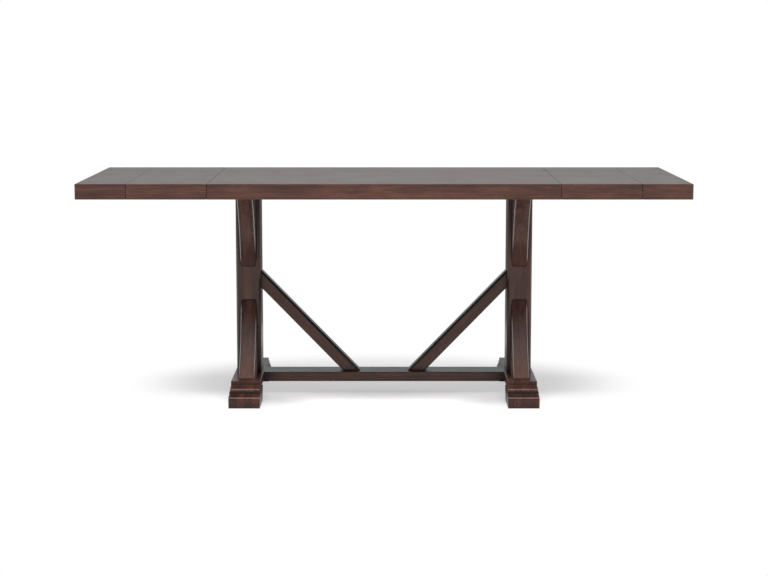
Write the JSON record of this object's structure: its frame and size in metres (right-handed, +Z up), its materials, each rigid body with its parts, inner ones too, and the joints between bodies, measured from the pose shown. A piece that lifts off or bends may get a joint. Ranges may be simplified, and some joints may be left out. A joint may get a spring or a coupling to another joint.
{
  "type": "counter height table",
  "caption": "Counter height trestle table with drop-in leaves and sliding end sections, curved post brackets, moulded feet, diagonal braces and a low stretcher.",
  "frame": {"origin": "on the floor under the middle of the table", "axes": "+X along the table's length, +Y to its back, +Z up"},
  "size_m": [2.4254, 0.914, 0.914],
  "materials": {
    "stained_wood": "dark espresso stain under satin lacquer",
    "plain_hardwood": "waxed, unstained",
    "steel": "zinc plated",
    "nylon": "smooth"
  },
  "bodies": {
    "base": {"barrel_nuts": "steel", "bearer_screws": "steel", "brace_screws": "steel", "centre_back_edge": "stained_wood", "centre_front_edge": "stained_wood", "centre_panel": "stained_wood", "centre_pins": "plain_hardwood", "glides": "nylon", "left_back_foot_pad": "stained_wood", "left_back_lower_bracket": "stained_wood", "left_back_runner": "plain_hardwood", "left_back_upper_bracket": "stained_wood", "left_bearer": "stained_wood", "left_brace": "stained_wood", "left_foot_beam": "stained_wood", "left_front_foot_pad": "stained_wood", "left_front_lower_bracket": "stained_wood", "left_front_runner": "plain_hardwood", "left_front_upper_bracket": "stained_wood", "left_post": "stained_wood", "pad_screws": "steel", "right_back_foot_pad": "stained_wood", "right_back_lower_bracket": "stained_wood", "right_back_runner": "plain_hardwood", "right_back_upper_bracket": "stained_wood", "right_bearer": "stained_wood", "right_brace": "stained_wood", "right_foot_beam": "stained_wood", "right_front_foot_pad": "stained_wood", "right_front_lower_bracket": "stained_wood", "right_front_runner": "plain_hardwood", "right_front_upper_bracket": "stained_wood", "right_post": "stained_wood", "runner_screws": "steel", "stretcher": "stained_wood", "stretcher_bolts": "steel"},
    "left_leaf": {"left_leaf_back_edge": "stained_wood", "left_leaf_front_edge": "stained_wood", "left_leaf_panel": "stained_wood"},
    "left_end": {"left_back_rail": "plain_hardwood", "left_end_back_edge": "stained_wood", "left_end_cap_edge": "stained_wood", "left_end_front_edge": "stained_wood", "left_end_panel": "stained_wood", "left_end_pins": "plain_hardwood", "left_front_rail": "plain_hardwood", "left_rail_screws": "steel"},
    "right_leaf": {"right_leaf_back_edge": "stained_wood", "right_leaf_front_edge": "stained_wood", "right_leaf_panel": "stained_wood"},
    "right_end": {"right_back_rail": "plain_hardwood", "right_end_back_edge": "stained_wood", "right_end_cap_edge": "stained_wood", "right_end_front_edge": "stained_wood", "right_end_panel": "stained_wood", "right_end_pins": "plain_hardwood", "right_front_rail": "plain_hardwood", "right_rail_screws": "steel"}
  },
  "joints": [
    {"name": "left_end_slide", "type": "slide", "parent": "base", "child": "left_end", "axis": [-1, 0, 0], "range_m": [0, 0.04]},
    {"name": "left_leaf_lift", "type": "slide", "parent": "base", "child": "left_leaf", "axis": [0, 0, 1], "range_m": [0, 0.2]},
    {"name": "right_end_slide", "type": "slide", "parent": "base", "child": "right_end", "axis": [1, 0, 0], "range_m": [0, 0.04]},
    {"name": "right_leaf_lift", "type": "slide", "parent": "base", "child": "right_leaf", "axis": [0, 0, 1], "range_m": [0, 0.2]}
  ]
}
